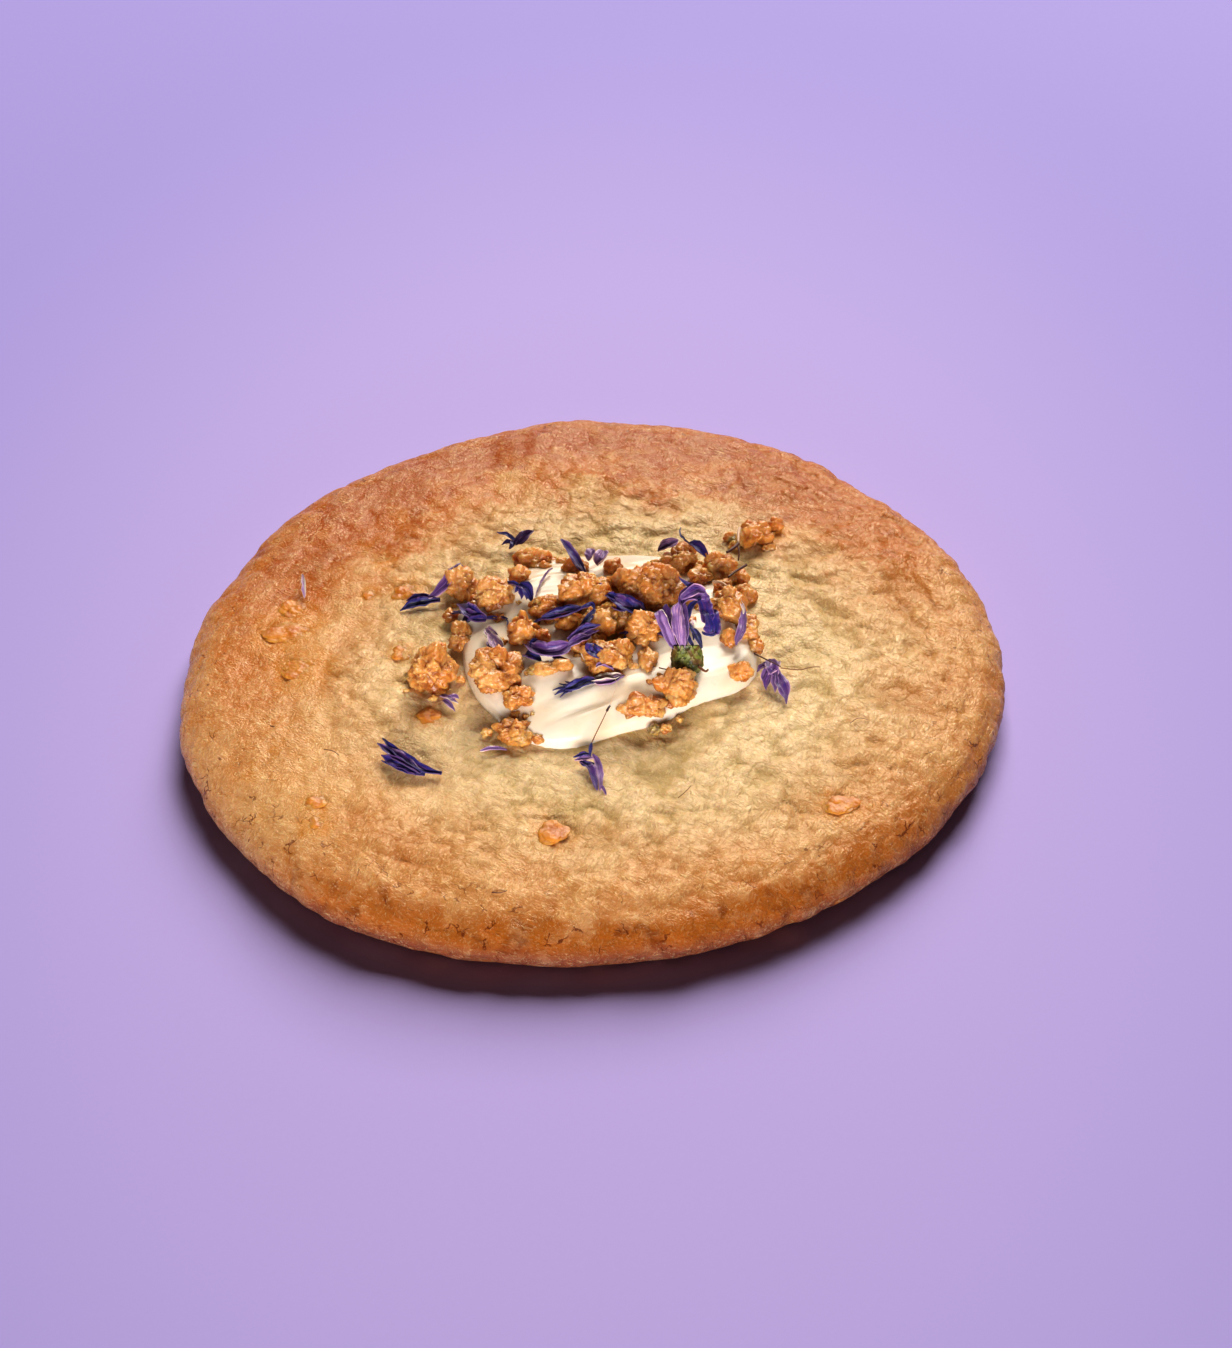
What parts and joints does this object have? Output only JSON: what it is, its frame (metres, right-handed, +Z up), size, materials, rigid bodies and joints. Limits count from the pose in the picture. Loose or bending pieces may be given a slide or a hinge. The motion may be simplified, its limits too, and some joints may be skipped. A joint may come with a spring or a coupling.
{
  "type": "blueberry pie cookie",
  "caption": "Thin round baked biscuit with a browned rim, a swipe of white cream in the middle, clumps of soft pastry crumble and scattered dried flower florets.",
  "frame": {"origin": "middle of the flat underside", "axes": "+Z up through the cookie, -Y towards the front, the side with the cream's straight edge, +X to the right"},
  "size_m": [0.1105, 0.1106, 0.0212],
  "materials": {
    "biscuit": "baked biscuit, browned at the rim and paler and moist towards the middle",
    "cream": "smooth white cream with a soft gloss",
    "crumble": "moist golden-brown pastry crumble",
    "cornflower": "dried blue and violet petals",
    "bud": "dried green bud scales with violet petals"
  },
  "bodies": {
    "root": {"biscuit": "biscuit", "cream": "cream", "bud": "bud", "crumble_1": "crumble", "crumble_2": "crumble", "crumble_3": "crumble", "crumble_4": "crumble", "crumble_5": "crumble", "crumble_6": "crumble", "crumble_7": "crumble", "crumble_8": "crumble", "crumble_9": "crumble", "crumble_10": "crumble", "crumble_11": "crumble", "crumble_12": "crumble", "crumble_13": "crumble", "crumble_14": "crumble", "crumble_15": "crumble", "crumble_16": "crumble", "crumble_17": "crumble", "crumble_18": "crumble", "crumble_19": "crumble", "floret_front_left": "cornflower", "floret_front": "cornflower", "floret_right": "cornflower", "floret_left": "cornflower", "floret_left_corner": "cornflower", "floret_back_left": "cornflower", "floret_back_spike": "cornflower", "floret_back_right": "cornflower", "floret_top_left": "cornflower", "floret_middle_back": "cornflower", "floret_middle_front": "cornflower", "floret_middle_right": "cornflower", "floret_far_right": "cornflower", "floret_cream_front": "cornflower", "floret_cream_left": "cornflower"}
  },
  "joints": []
}
